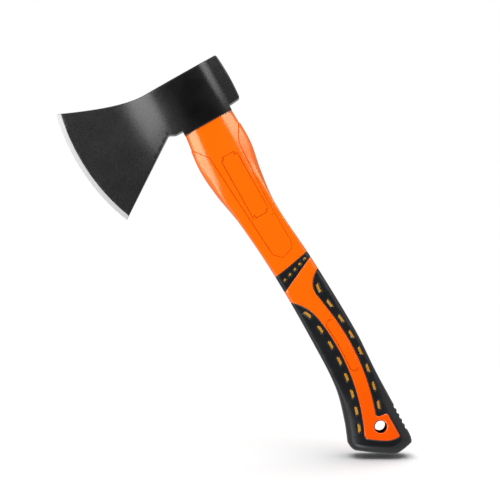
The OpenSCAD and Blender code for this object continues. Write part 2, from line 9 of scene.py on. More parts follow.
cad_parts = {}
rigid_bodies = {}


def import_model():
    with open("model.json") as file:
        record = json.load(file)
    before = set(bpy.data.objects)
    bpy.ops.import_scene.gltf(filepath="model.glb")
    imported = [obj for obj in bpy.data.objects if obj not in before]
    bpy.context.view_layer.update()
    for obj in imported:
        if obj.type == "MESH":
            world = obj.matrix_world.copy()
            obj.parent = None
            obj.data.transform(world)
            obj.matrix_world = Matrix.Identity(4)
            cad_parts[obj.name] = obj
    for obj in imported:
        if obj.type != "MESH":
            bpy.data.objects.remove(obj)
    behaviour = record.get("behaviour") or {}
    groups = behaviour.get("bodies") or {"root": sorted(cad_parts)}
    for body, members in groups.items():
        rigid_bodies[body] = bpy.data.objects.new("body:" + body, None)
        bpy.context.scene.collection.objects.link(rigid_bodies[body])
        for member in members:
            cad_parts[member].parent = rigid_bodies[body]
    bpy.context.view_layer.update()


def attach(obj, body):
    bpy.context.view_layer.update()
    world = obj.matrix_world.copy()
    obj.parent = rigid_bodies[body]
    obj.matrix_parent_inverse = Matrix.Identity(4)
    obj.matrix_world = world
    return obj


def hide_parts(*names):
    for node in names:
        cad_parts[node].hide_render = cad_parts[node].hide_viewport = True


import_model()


# Handle core: a rod of glass fibres drawn through resin, oval in section. It runs from above the hang hole up
# through the eye, where its sawn end shows in the resin.
CORE_LENGTH, CORE_WIDTH, CORE_X = 20.0, 12.0, 0.4
CORE_FOOT, RESIN_TOP, OVAL_POWER = 30.0, 338.0, 2.7
SAWN_EDGE, SAWN_LENGTH_SHARE, SAWN_WIDTH_SHARE = 0.3, 0.98, 0.97


def oval_ring(bm, half_length, half_width, z, steps=96):
    """Ring of the flat-sided oval that the eye and the core share."""
    ring = bmesh.ops.create_circle(bm, cap_ends=False, segments=steps, radius=1.0)["verts"]
    for v in ring:
        x = math.copysign(abs(v.co.x) ** (2 / OVAL_POWER), v.co.x)
        y = math.copysign(abs(v.co.y) ** (2 / OVAL_POWER), v.co.y)
        v.co = (CORE_X + half_length * x, half_width * y, z)
    return list({e for v in ring for e in v.link_edges})


def raise_ring(bm, edges, change):
    """Extrudes a ring of edges and moves the new ring's points with a function."""
    made = bmesh.ops.extrude_edge_only(bm, edges=edges)["geom"]
    for v in made:
        if isinstance(v, bmesh.types.BMVert):
            v.co = change(v.co)
    return [e for e in made if isinstance(e, bmesh.types.BMEdge) and not any(v not in made for v in e.verts)]


def drawn_in(z, along=1.0, across=1.0):
    """Move of a ring's points for raise_ring: to a height, and in towards the core's axis."""
    return lambda p: Vector((CORE_X + (p.x - CORE_X) * along, p.y * across, z))


def add_node(tree, kind, inputs=None, **settings):
    """Node of a material with its settings; an input takes a value or the socket that feeds it."""
    made = tree.nodes.new(kind)
    for name, value in settings.items():
        setattr(made, name, value)
    for name, value in (inputs or {}).items():
        if isinstance(value, bpy.types.NodeSocket):
            tree.links.new(value, made.inputs[name])
        else:
            made.inputs[name].default_value = value
    return made


def new_finish(name, **values):
    """Material with the plain values of its shader; returns it with its tree, shader and Object coordinates."""
    finish = bpy.data.materials.new(name)
    finish.use_nodes = True
    tree = finish.node_tree
    shader = tree.nodes["Principled BSDF"]
    for socket, value in values.items():
        shader.inputs[socket.replace("_", " ")].default_value = value
    place = add_node(tree, "ShaderNodeTexCoord").outputs["Object"]
    return finish, tree, shader, place


def ramp(tree, fac, *stops):
    """Colour ramp with stops of (position, colour or grey)."""
    made = add_node(tree, "ShaderNodeValToRGB", {"Fac": fac})
    band = made.color_ramp
    while len(band.elements) < len(stops):
        band.elements.new(0.5)
    for element, (at, colour) in zip(band.elements, stops):
        element.position = at
        element.color = (*colour, 1) if isinstance(colour, tuple) else (colour, colour, colour, 1)
    return made.outputs["Color"]


def add_bump(tree, shader, height, strength, distance):
    """Bumps a finish by a height; distance is the depth in metres."""
    bump = add_node(tree, "ShaderNodeBump", {"Height": height, "Strength": strength, "Distance": distance})
    tree.links.new(bump.outputs["Normal"], shader.inputs["Normal"])


def new_piece(bm, name, *finishes, crease=38):
    """Scales a shape to metres and makes it a piece with its finishes; turns sharper than crease stay sharp."""
    bmesh.ops.scale(bm, vec=(0.001, 0.001, 0.001), verts=bm.verts)
    for f in bm.faces:
        f.smooth = True
    for e in bm.edges:
        e.smooth = len(e.link_faces) == 2 and e.calc_face_angle() < math.radians(crease)
    mesh = bpy.data.meshes.new(name)
    bm.to_mesh(mesh)
    bm.free()
    for finish in finishes:
        mesh.materials.append(finish)
    piece = bpy.data.objects.new(name, mesh)
    bpy.context.scene.collection.objects.link(piece)
    return piece


bm = bmesh.new()
core_ring = oval_ring(bm, CORE_LENGTH / 2, CORE_WIDTH / 2, CORE_FOOT)
bmesh.ops.contextual_create(bm, geom=core_ring)
core_ring = raise_ring(bm, core_ring, drawn_in(RESIN_TOP - SAWN_EDGE))
core_ring = raise_ring(bm, core_ring, drawn_in(RESIN_TOP, SAWN_LENGTH_SHARE, SAWN_WIDTH_SHARE))
bmesh.ops.contextual_create(bm, geom=core_ring)
bmesh.ops.recalc_face_normals(bm, faces=bm.faces)

fibreglass, tree, shader, place = new_finish("sawn_fibreglass", Roughness=0.5)
voronoi = add_node(tree, "ShaderNodeTexVoronoi", {"Vector": place, "Scale": 1500.0}, feature="F1")
bundles = voronoi.outputs["Distance"]
bundle_tone = ramp(tree, bundles, (0.0, (0.62, 0.52, 0.34)), (1.0, (0.34, 0.26, 0.14)))
drawn_out = add_node(tree, "ShaderNodeMapping", {"Vector": place, "Scale": (900, 900, 12)}).outputs["Vector"]
streaks = add_node(tree, "ShaderNodeTexNoise", {"Vector": drawn_out, "Scale": 1.0, "Detail": 3.0})
fibre_tone = add_node(tree, "ShaderNodeMix", {
    "Factor": streaks.outputs["Fac"], "A": bundle_tone, "B": (0.5, 0.42, 0.27, 1)}, data_type="RGBA")
tree.links.new(fibre_tone.outputs["Result"], shader.inputs["Base Color"])
add_bump(tree, shader, bundles, 0.4, 0.0001)

core = new_piece(bm, "glass_fibre_core", fibreglass)
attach(core, "root")
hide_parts("handle_core")


# Handle jacket: one orange polypropylene moulding round the core. It shows as the neck with its sunk panel and plain
# label, and below the band as the tongue, the strip with its capsule and the plate round the hang hole.
FRONT_REACH = [(-1.6, 31.8), (19, 23.9), (46, 16.9), (81, 15), (150, 15.4), (205, 19.5), (237, 25.1), (262, 26.9),
               (292.6, 23.6)]
BACK_REACH = [(-20.2, 18.4), (19, 19), (46, 19.5), (81, 21.3), (150, 19), (205, 15), (237, 18.1), (262, 22.4),
              (292.6, 22)]
THICKNESS = [(-20.2, 28), (19, 28), (81, 27), (205, 25.4), (292.6, 26)]
SEAT_Z = 292.6
BUTT_LOW, BUTT_RIM, BUTT_LEAN_TOP = -20.2, 4.0, 45.0
SOLE_LEVEL, SOLE_RADIUS, SOLE_CORNER = -16.6, 9.0, 3.0
BUTT_HALF, BUTT_FRONT_Z, BUTT_FRONT_SLOPE, BUTT_BACK_SLOPE = 25.1, -1.6, 34.6, 10.0
BUTT_POWER, GRIP_POWER, THROAT_POWER, NECK_POWER = 4, 11, 22, 36
FACET_LEAN, FACET_REACH, FACET_POWER = 0.9, 1.52, 14
ROUND_BUTT, ROUND_END, THROAT_START, THROAT_FULL = 10.0, 55.0, 150.0, 180.0
FACETS_START, FACETS_FULL = 198.0, 266.0
MEAN_HALF_WIDTH, MEAN_HALF_THICKNESS, EDGE_MARGIN, PAST = 20.5, 13.5, 0.3, 12.0
STRIP_WIDTH, STRIP_RADIUS, STRIP_BACK, STRIP_Z, TONGUE_Z = 11.5, 183.0, 6.8, 75.3, 104.0
FRONT_TIP_Z, REAR_TIP_Z, TONGUE_PULL = 127.0, 141.6, 2.8
FRONT_PULL_SHARE, REAR_START_SHARE, REAR_PULL_SHARE, REAR_END_SHARE = 0.63, 0.41, 0.74, 0.67
PLATE_TOP, PLATE_BACK, PLATE_DROP, PLATE_HEEL, PLATE_LIFT, PLATE_RISE = 7.4, 10.5, 15.6, 2.4, 1.7, 0.8
HEEL_TURN, FOOT_TURN, PLATE_NECK_TURN = 3.4, 2.5, 5.0
BAND_LOW_Z, BAND_RISE, BAND_FRONT, BAND_BACK, BAND_SAG = 137.2, 15.6, 15.0, 5.4, 0.3
PANEL_DEPTH, PANEL_TURN, PANEL_FOOT_TURN, PANEL_BEND = 0.5, 2.5, 1.2, 20
GROOVE_DEPTH, PANEL_GROOVE_SIDE, PANEL_GROOVE_FLOOR, GROOVE_SIDE, GROOVE_FLOOR = 1.2, 0.08, 0.45, 0.06, 0.5
LABEL_X, LABEL_Z, LABEL_WIDTH, LABEL_LENGTH, LABEL_NOTCH = 0.4, 232.2, 16.4, 58.6, 2.4
CAPSULE_Z, CAPSULE_WIDTH, CAPSULE_LENGTH = 51.0, 8.8, 48.2
HOLE_RADIUS, LINER_WALL, DISH_RADIUS, DISH_DEPTH, DISH_STEPS = 4.8, 0.6, 7.4, 0.15, (7.2, 6.8, 6.2)
JACKET_WALL, JACKET_EDGE = 2.4, 0.6
CORNER_START, CORNER_END, CORNER_STEP = 10.5, 15.5, 0.7


def reach(stations, height):
    """Reach of an outline at a height, on a smooth line through its stations."""
    z, r = np.array(stations, float).T
    slope = np.concatenate(([(r[1] - r[0]) / (z[1] - z[0])], (r[2:] - r[:-2]) / (z[2:] - z[:-2]),
                            [(r[-1] - r[-2]) / (z[-1] - z[-2])]))
    height = np.clip(height, z[0], z[-1])
    i = np.clip(np.searchsorted(z, height, side="right") - 1, 0, len(z) - 2)
    span = z[i + 1] - z[i]
    t = (height - z[i]) / span
    u = 1 - t
    return (u * u * (1 + 2 * t) * r[i] + t * t * (3 - 2 * t) * r[i + 1]
            + span * t * u * (u * slope[i] - t * slope[i + 1]))


def level_height(across, level):
    """Height of a level of the handle; the levels lean over to the sloped butt. across is -1 in front, 1 behind."""
    front = BUTT_FRONT_Z - (1 + across) * BUTT_HALF * math.tan(math.radians(BUTT_FRONT_SLOPE))
    back = BUTT_LOW - (1 - across) * BUTT_HALF * math.tan(math.radians(BUTT_BACK_SLOPE))
    rim = (front + back + np.sqrt((front - back) ** 2 + BUTT_RIM ** 2)) / 2
    return level + (rim - BUTT_LOW) * np.clip((BUTT_LEAN_TOP - level) / (BUTT_LEAN_TOP - BUTT_LOW), 0, 1)


# Sections of the near face from the front edge round to the back edge: a soft box at the butt, a squarer one along
# the grip, a sharp one at the throat, and a box with facets across its corners at the neck
turn = np.linspace(0, math.pi, 2001)
wide, deep = np.abs(np.cos(turn)), np.sin(turn)
box_reaches = [(wide ** power + deep ** power) ** (1 / power) for power in (BUTT_POWER, GRIP_POWER, THROAT_POWER)]
facet_reach = (FACET_LEAN * wide + deep) / FACET_REACH
face_reach = (deep ** FACET_POWER + facet_reach ** FACET_POWER) ** (1 / FACET_POWER)
neck_reach = (face_reach ** NECK_POWER + wide ** NECK_POWER) ** (1 / NECK_POWER)
sections = [np.stack((-np.cos(turn), deep)) / r for r in (*box_reaches, neck_reach)]
girth_steps = np.diff((sections[1] + sections[-1]) / 2, axis=1)
section_girth = np.concatenate(([0], np.cumsum(np.hypot(MEAN_HALF_WIDTH * girth_steps[0],
                                                        MEAN_HALF_THICKNESS * girth_steps[1]))))
HALF_GIRTH = section_girth[-1]


def ease(t):
    """Smooth start and stop between 0 and 1."""
    t = np.clip(t, 0, 1)
    return t * t * (3 - 2 * t)


def section_shares(level):
    """Shares of the butt's, the grip's, the throat's and the neck's section at a level of the handle."""
    butt = ease((ROUND_END - level) / (ROUND_END - ROUND_BUTT))
    throat = ease((level - THROAT_START) / (THROAT_FULL - THROAT_START))
    neck = ease((level - FACETS_START) / (FACETS_FULL - FACETS_START))
    return butt, 1 - butt - throat, throat - neck, neck


def on_handle(girth, level, out):
    """Points of the handle's near face: girth runs round from the front edge, out stands off the surface."""
    fall = np.clip((SOLE_LEVEL - level) / SOLE_RADIUS, 0, math.pi / 2)
    level = np.maximum(level, SOLE_LEVEL)
    across, deep = (sum(share * np.interp(girth, section_girth, section[k])
                        for share, section in zip(section_shares(level), sections)) for k in (0, 1))
    corner_in, sole_in = (r * (1 - np.cos(fall)) - out * np.cos(fall) for r in (SOLE_CORNER, SOLE_RADIUS))
    front = reach(FRONT_REACH, level_height(-1, level)) - corner_in
    back = reach(BACK_REACH, level_height(1, level)) - corner_in
    half = reach(THICKNESS, level) / 2 - sole_in
    height = level_height(across, level) - (SOLE_RADIUS + out) * np.sin(fall)
    return np.stack((-front + (front + back) * (across + 1) / 2, -half * deep, height), axis=1)


def on_pattern(points):
    """Girth and level of points given in X and Z, for outlines drawn as the near face is seen."""
    x, z = np.array(points, float).T
    level = z.copy()
    for _ in range(12):
        front, back = reach(FRONT_REACH, level_height(-1, level)), reach(BACK_REACH, level_height(1, level))
        across = np.clip((2 * x + front - back) / (front + back), -1, 1)
        level = level + z - level_height(across, level)
    girth = [np.interp(a, sum(share * section[0] for share, section in zip(shares, sections)), section_girth)
             for a, *shares in zip(across, *section_shares(level))]
    return np.stack((girth, level), axis=1)


def past_edges(chain):
    """Carries a chain that crosses the face on round the front and back edge, where it is trimmed later."""
    past_front, before_back = chain[:, 0] > EDGE_MARGIN, chain[:, 0] < HALF_GIRTH - EDGE_MARGIN
    inner = chain[past_front & before_back]
    first = max(int(np.argmax(past_front)) - 1, 0)
    last = len(chain) - max(int(np.argmax(before_back[::-1])) - 1, 0) - 1
    return np.vstack(((-PAST, chain[first][1]), (0, chain[first][1]), inner, (HALF_GIRTH, chain[last][1]),
                      (HALF_GIRTH + PAST, chain[last][1])))


def bend(start, pull, end, steps=20):
    """Curve that leaves start towards pull and arrives at end from it."""
    t = np.linspace(0, 1, steps + 1)[:, None]
    return (1 - t) ** 2 * np.array(start) + 2 * t * (1 - t) * np.array(pull) + t ** 2 * np.array(end)


def corner(before, tip, after, size):
    """Corner of an outline, rounded over a length on each side of its tip."""
    before, tip, after = (np.array(p, float) for p in (before, tip, after))
    return bend(tip + size * (before - tip) / np.linalg.norm(before - tip), tip,
                tip + size * (after - tip) / np.linalg.norm(after - tip), 8)


def divide(points, gap):
    """Outline with points set along its straight runs, so that the runs stay straight on the bent face."""
    runs = [a + np.linspace(0, 1, int(np.linalg.norm(b - a) / gap) + 2)[:-1, None] * (b - a)
            for a, b in zip(points, points[1:])]
    return np.vstack((*runs, points[-1:]))


def trace(bm, points):
    """Edges of a closed outline on the flat pattern; outlines that share points share their edges."""
    known = {(round(v.co.x, 3), round(v.co.y, 3)): v for v in bm.verts}
    verts = []
    for point in points:
        spot = (round(float(point[0]), 3), round(float(point[1]), 3))
        if spot not in known:
            known[spot] = bm.verts.new((*spot, 0))
        if known[spot] not in verts:
            verts.append(known[spot])
    return [bm.edges.get(pair) or bm.edges.new(pair) for pair in zip(verts, verts[1:] + verts[:1])]


def cover(bm, *outlines):
    """Faces of a flat region: the first outline is its border, the others leave openings in it."""
    edges = [e for points in outlines for e in trace(bm, points)]
    filled = bmesh.ops.triangle_fill(bm, use_beauty=True, edges=edges, normal=(0, 0, 1))["geom"]
    return [f for f in filled if isinstance(f, bmesh.types.BMFace)]


def step(bm, faces, profile, border=True):
    """Rings just inside a region's border: each moves in by a width and lifts all that it encloses."""
    for width, lift in profile:
        bmesh.ops.inset_region(bm, faces=faces, thickness=width, use_even_offset=True, use_boundary=border)
        for v in {v for f in faces for v in f.verts}:
            v.co.z += lift


def rounded(radius, steps=3):
    """Profile of a moulded edge that starts a radius below the surface."""
    q = np.radians(np.linspace(0, 90, steps + 1))
    return list(zip(radius * np.diff(1 - np.cos(q)), radius * np.diff(np.sin(q))))


def cut(bm, place, direction, faces=None, **clear):
    """Cuts the flat pattern along a straight line, and may clear one side of it."""
    faces = bm.faces[:] if faces is None else faces
    geom = list({g for f in faces for g in (*f.verts, *f.edges)}) + faces
    bmesh.ops.bisect_plane(bm, geom=geom, dist=1e-4, plane_co=place, plane_no=direction, **clear)


def trim(bm, levels, girth_step=1.5):
    """Trims a flat pattern to half the girth and cuts it finely enough to bend."""
    cut(bm, (0, 0, 0), (1, 0, 0), clear_inner=True)
    cut(bm, (HALF_GIRTH, 0, 0), (1, 0, 0), clear_outer=True)
    for girth in np.arange(girth_step, HALF_GIRTH - 0.1, girth_step):
        cut(bm, (girth, 0, 0), (1, 0, 0))
    for level in levels:
        cut(bm, (0, level, 0), (0, 1, 0))


def wrap(bm):
    """Bends the flat pattern round the near face; a point's lift on the pattern stands off the surface."""
    flat = np.array([v.co[:] for v in bm.verts])
    for v, point in zip(bm.verts, on_handle(*flat.T)):
        v.co = point


def add_far_side(bm):
    """Mirrors the near side to the far side, faces outwards, and welds the seam."""
    bmesh.ops.mirror(bm, geom=bm.verts[:] + bm.edges[:] + bm.faces[:], matrix=Matrix(), merge_dist=0.0, axis="Y")
    bmesh.ops.reverse_faces(bm, faces=[f for f in bm.faces if f.calc_center_median().y > 0])
    bmesh.ops.remove_doubles(bm, verts=bm.verts, dist=0.002)
    bmesh.ops.dissolve_degenerate(bm, dist=0.0005, edges=bm.edges)


def give_wall(piece, thickness):
    """Gives a moulded skin its wall, inwards from its surface."""
    wall = piece.modifiers.new("wall", "SOLIDIFY")
    wall.thickness, wall.offset = thickness / 1000, -1.0


def strip_edge(z, side):
    """X of the strip's front (-1) or back (1) edge; the back edge runs straight above the tongue's start."""
    radius = STRIP_RADIUS + side * STRIP_WIDTH / 2
    bent = np.minimum(z, TONGUE_Z) if side > 0 else z
    x = STRIP_BACK - STRIP_RADIUS + np.sqrt(radius ** 2 - (bent - STRIP_Z) ** 2)
    return x - (z - bent) * (TONGUE_Z - STRIP_Z) / radius


def strip_side(side, start, end, steps=40):
    """Points along one edge of the strip."""
    z = np.linspace(start, end, steps + 1)
    return np.stack((strip_edge(z, side), z), axis=1)


# Lower edge of the jacket where it shows, from the front tip down the strip, round the plate and up to the rear tip
front_tip = np.array((-reach(FRONT_REACH, FRONT_TIP_Z), FRONT_TIP_Z))
rear_tip = np.array((reach(BACK_REACH, REAR_TIP_Z), REAR_TIP_Z))
tongue_front = (strip_edge(TONGUE_Z, -1), TONGUE_Z)
front_pull = (tongue_front[0] - TONGUE_PULL, TONGUE_Z + FRONT_PULL_SHARE * (FRONT_TIP_Z - TONGUE_Z))
rear_start_z = TONGUE_Z + REAR_START_SHARE * (REAR_TIP_Z - TONGUE_Z)
rear_start = (strip_edge(rear_start_z, 1), rear_start_z)
rear_pull = np.array((rear_start[0] - TONGUE_PULL, TONGUE_Z + REAR_PULL_SHARE * (REAR_TIP_Z - TONGUE_Z)))
rear_end = rear_pull + REAR_END_SHARE * (rear_tip - rear_pull)
heel_end = (strip_edge(-PLATE_HEEL, -1), -PLATE_HEEL)
heel_start = (strip_edge(PLATE_HEEL, -1), PLATE_HEEL)
plate_low = (0, PLATE_LIFT - PLATE_DROP)
plate_foot = (PLATE_BACK, -PLATE_DROP)
plate_head = (PLATE_BACK, PLATE_TOP)
plate_neck = (strip_edge(PLATE_TOP, 1), PLATE_TOP + PLATE_RISE)
neck_end = (strip_edge(2 * PLATE_TOP, 1), 2 * PLATE_TOP)
share = np.linspace(0, 1, 31)[1:, None]
window = past_edges(on_pattern(np.vstack((
    bend(front_tip, front_pull, tongue_front, 60),
    strip_side(-1, TONGUE_Z, 2 * PLATE_TOP)[1:],
    corner(heel_start, heel_end, plate_low, HEEL_TURN),
    corner(heel_end, plate_low, plate_foot, HEEL_TURN),
    corner(plate_low, plate_foot, plate_head, FOOT_TURN),
    corner(plate_foot, plate_head, plate_neck, FOOT_TURN),
    corner(plate_head, plate_neck, neck_end, PLATE_NECK_TURN),
    strip_side(1, 2 * PLATE_TOP, TONGUE_Z),
    bend(rear_start, rear_pull, rear_end),
    rear_end + share * (rear_tip - rear_end)))))

# Lower and upper edge of the band round the throat
band_x = np.linspace(-reach(FRONT_REACH, BAND_LOW_Z), reach(BACK_REACH, BAND_LOW_Z + BAND_RISE), 61)
band_share = np.linspace(0, 1, 61)
band_low = BAND_LOW_Z + BAND_RISE * band_share
band_sag = 4 * BAND_SAG * band_share * (1 - band_share)
band_top = band_low + BAND_FRONT + (BAND_BACK - BAND_FRONT) * band_share - band_sag
band_lower_edge = past_edges(on_pattern(np.stack((band_x, band_low), axis=1)))
band_upper_edge = past_edges(on_pattern(np.stack((band_x, band_top), axis=1)))

# Border of the sunk panel: it narrows to its foot and turns out to both edges above the shoulder
panel_corners = np.array([(-26.9, 281), (-15, 266.3), (-8.6, 169.4), (-2, 163), (8.8, 166.4), (11.8, 172.8),
                          (10.9, 205), (13.8, 266.3), (22.4, 281)])
panel_sizes = (PANEL_TURN, *[PANEL_FOOT_TURN] * 4, PANEL_BEND, PANEL_TURN)
panel_turns = [corner(before, tip, after, size) for before, tip, after, size in zip(
    panel_corners, panel_corners[1:], panel_corners[2:], panel_sizes)]
panel_line = np.vstack((panel_corners[:1], *panel_turns, panel_corners[-1:]))
panel_border = past_edges(on_pattern(divide(panel_line, gap=1.0)))

# Outlines of the label and the capsule, and the circle of the hang hole
quarter = np.array([(LABEL_WIDTH / 2, LABEL_LENGTH / 2 - LABEL_NOTCH),
                    (LABEL_WIDTH / 2 - LABEL_NOTCH, LABEL_LENGTH / 2 - LABEL_NOTCH),
                    (LABEL_WIDTH / 2 - LABEL_NOTCH, LABEL_LENGTH / 2)])
label = np.vstack((quarter, quarter[::-1] * (-1, 1), quarter * (-1, -1), quarter[::-1] * (1, -1)))
label = on_pattern(divide(np.vstack((label, label[:1])), gap=3.0)[:-1] + (LABEL_X, LABEL_Z))
capsule_ends = (CAPSULE_Z + CAPSULE_LENGTH - CAPSULE_WIDTH / 2, CAPSULE_Z + CAPSULE_WIDTH / 2)
capsule = []
for z, first in zip(capsule_ends, (0, 180)):
    lean = math.asin((z - STRIP_Z) / STRIP_RADIUS)
    q = np.radians(np.linspace(first, first + 180, 25)) + lean
    middle = (strip_edge(z, -1) + strip_edge(z, 1)) / 2
    capsule.append(np.stack((middle + CAPSULE_WIDTH / 2 * np.cos(q), z + CAPSULE_WIDTH / 2 * np.sin(q)), axis=1))
run = np.linspace(*capsule_ends, 21)[1:-1]
run_lean = np.arcsin((run - STRIP_Z) / STRIP_RADIUS)
run_middle = (strip_edge(run, -1) + strip_edge(run, 1)) / 2
run_off = CAPSULE_WIDTH / 2 * np.stack((np.cos(run_lean), np.sin(run_lean)), axis=1)
run_points = np.stack((run_middle, run), axis=1)
capsule = on_pattern(np.vstack((capsule[0], run_points - run_off, capsule[1], (run_points + run_off)[::-1])))
round_turn = np.linspace(0, 2 * math.pi, 65)[:-1]
circle = np.stack((np.cos(round_turn), np.sin(round_turn)), axis=1)

bm = bmesh.new()
top_corners = np.array([(HALF_GIRTH + PAST, SEAT_Z + PAST), (-PAST, SEAT_Z + PAST)])
neck_low = cover(bm, np.vstack((band_upper_edge, panel_border[::-1])))
neck_panel = cover(bm, np.vstack((panel_border, top_corners)), label)
neck_label = cover(bm, label)
strip_capsule = cover(bm, capsule)
bore = HOLE_RADIUS + LINER_WALL
dish_rings = [on_pattern(circle * r) for r in (DISH_RADIUS, *DISH_STEPS, bore)]
strip = cover(bm, np.vstack((window, band_lower_edge[::-1])), capsule, dish_rings[0])
for outer, inner in zip(dish_rings, dish_rings[1:]):
    strip += cover(bm, outer, inner)
for v in bm.verts:
    v.co.z = -JACKET_EDGE
step(bm, neck_low + neck_panel + neck_label, rounded(JACKET_EDGE))
step(bm, strip + strip_capsule, rounded(JACKET_EDGE))
step(bm, neck_panel + neck_label, [(PANEL_GROOVE_SIDE, -GROOVE_DEPTH), (PANEL_GROOVE_FLOOR, 0),
                                   (PANEL_GROOVE_SIDE, GROOVE_DEPTH - PANEL_DEPTH)], border=False)
for field in (neck_label, strip_capsule):
    step(bm, field, [(GROOVE_SIDE, -GROOVE_DEPTH), (GROOVE_FLOOR, 0), (GROOVE_SIDE, GROOVE_DEPTH)])
cut(bm, (0, SEAT_Z, 0), (0, 1, 0), clear_outer=True)
trim(bm, np.concatenate((np.arange(-14, 14, 1.5), np.arange(14, THROAT_START, 4),
                         np.arange(THROAT_START, SEAT_Z - 1, 3))))
for off in np.arange(CORNER_START, CORNER_END, CORNER_STEP):
    for girth in (off, HALF_GIRTH - off):
        cut(bm, (girth, 0, 0), (1, 0, 0), [f for f in bm.faces if f.calc_center_median().y > THROAT_START])
wrap(bm)
for v in bm.verts:
    from_hole = max(math.hypot(v.co.x, v.co.z), bore)
    if from_hole < DISH_RADIUS:
        v.co.y += DISH_DEPTH * (DISH_RADIUS - from_hole) / (DISH_RADIUS - bore)
add_far_side(bm)


def new_group(name, inputs, outputs):
    """Shader node group for an effect that several finishes use."""
    group = bpy.data.node_groups.new(name, "ShaderNodeTree")
    for socket, kind in inputs:
        group.interface.new_socket(socket, in_out="INPUT", socket_type=kind)
    for socket, kind in outputs:
        group.interface.new_socket(socket, in_out="OUTPUT", socket_type=kind)
    return group, group.nodes.new("NodeGroupInput").outputs, group.nodes.new("NodeGroupOutput").inputs


# Moulding grain: fine pits of a spark-eroded mould, and slow uneven gloss over the surface
moulding_grain, given, result = new_group(
    "moulding_grain",
    [("Position", "NodeSocketVector"), ("Pits", "NodeSocketFloat"), ("Clouds", "NodeSocketFloat")],
    [("Height", "NodeSocketFloat"), ("Cloud", "NodeSocketFloat")])
pits = add_node(moulding_grain, "ShaderNodeTexNoise", {
    "Vector": given["Position"], "Scale": given["Pits"], "Detail": 2.0, "Roughness": 0.6})
clouds = add_node(moulding_grain, "ShaderNodeTexNoise", {
    "Vector": given["Position"], "Scale": given["Clouds"], "Detail": 4.0, "Roughness": 0.55})
moulding_grain.links.new(pits.outputs["Fac"], result["Height"])
moulding_grain.links.new(clouds.outputs["Fac"], result["Cloud"])


def add_grain(tree, place, pits, clouds):
    """Grain of a finish at its scales of pits and clouds; returns the height of the pits and the cloud."""
    made = add_node(tree, "ShaderNodeGroup", {"Position": place, "Pits": pits, "Clouds": clouds},
                    node_tree=moulding_grain)
    return made.outputs["Height"], made.outputs["Cloud"]


jacket_orange, tree, shader, place = new_finish(
    "jacket_orange", Specular_IOR_Level=0.9, Specular_Tint=(1.0, 0.93, 0.66, 1))
pit_height, cloud = add_grain(tree, place, 1600.0, 45.0)
up_handle = add_node(tree, "ShaderNodeMapRange", {
    "Value": add_node(tree, "ShaderNodeSeparateXYZ", {"Vector": place}).outputs["Z"],
    "From Min": 0.0, "From Max": 0.29})
# The orange runs deeper and redder towards the butt, by height up the handle
orange_tone = ramp(tree, up_handle.outputs["Result"], (0.0, (1.0, 0.098, 0.0008)), (0.26, (1.0, 0.134, 0.0008)),
                   (0.6, (1.0, 0.156, 0.0008)), (1.0, (1.0, 0.16, 0.0008)))
orange_cloud = ramp(tree, cloud, (0.3, 0.95), (0.7, 1.0))
tree.links.new(add_node(tree, "ShaderNodeMix", {"Factor": 1.0, "A": orange_tone, "B": orange_cloud},
                        data_type="RGBA", blend_type="MULTIPLY").outputs["Result"], shader.inputs["Base Color"])
tree.links.new(ramp(tree, cloud, (0.3, 0.16), (0.7, 0.2)), shader.inputs["Roughness"])
add_bump(tree, shader, pit_height, 0.08, 0.00008)

jacket = new_piece(bm, "orange_jacket", jacket_orange)
give_wall(jacket, JACKET_WALL)
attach(jacket, "root")
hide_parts("handle_jacket")


# Grip band: a black rubber ring round the throat, with pockets for five dots on each face. It is moulded onto the
# jacket, and the edges of the neck and the tongue hold it in place.
DOT_COUNT, DOT_DIAMETER, DOT_PITCH, DOT_X = 5, 2.8, 5.85, 2.0
RUBBER_WALL, RUBBER_EDGE = 2.4, 0.7
INLAY_GAP = 0.05
dot_x = DOT_X + (np.arange(DOT_COUNT) - (DOT_COUNT - 1) / 2) * DOT_PITCH
dot_z = np.interp(dot_x, band_x, (band_low + band_top) / 2)
dot_outlines = [circle[::2] * DOT_DIAMETER / 2 + (x, z) for x, z in zip(dot_x, dot_z)]
dot_pockets = [on_pattern((p - p.mean(axis=0)) * (1 + 2 * INLAY_GAP / DOT_DIAMETER) + p.mean(axis=0))
               for p in dot_outlines]

bm = bmesh.new()
band = cover(bm, np.vstack((band_lower_edge, band_upper_edge[::-1])), *dot_pockets)
for v in bm.verts:
    v.co.z = -RUBBER_EDGE
step(bm, band, rounded(RUBBER_EDGE))
trim(bm, np.arange(138, 162, 2.0))
wrap(bm)
add_far_side(bm)


def moulded_finish(name, pits, clouds, tones, roughness, strength, distance, **values):
    """Finish with the grain: tones and roughness run over its clouds, strength and distance bump its pits."""
    finish, tree, shader, place = new_finish(name, **values)
    pit_height, cloud = add_grain(tree, place, pits, clouds)
    for socket, (low, high) in (("Base Color", tones), ("Roughness", roughness)):
        tree.links.new(ramp(tree, cloud, (0.3, low), (0.7, high)), shader.inputs[socket])
    add_bump(tree, shader, pit_height, strength, distance)
    return finish


grip_rubber = moulded_finish(
    "grip_rubber", pits=1100.0, clouds=60.0, tones=((0.006, 0.0065, 0.0078), (0.008, 0.0086, 0.0102)),
    roughness=(0.27, 0.33), strength=0.5, distance=0.00012, Specular_IOR_Level=0.38)

band_ring = new_piece(bm, "rubber_band", grip_rubber)
give_wall(band_ring, RUBBER_WALL)
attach(band_ring, "root")
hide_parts("grip_band")


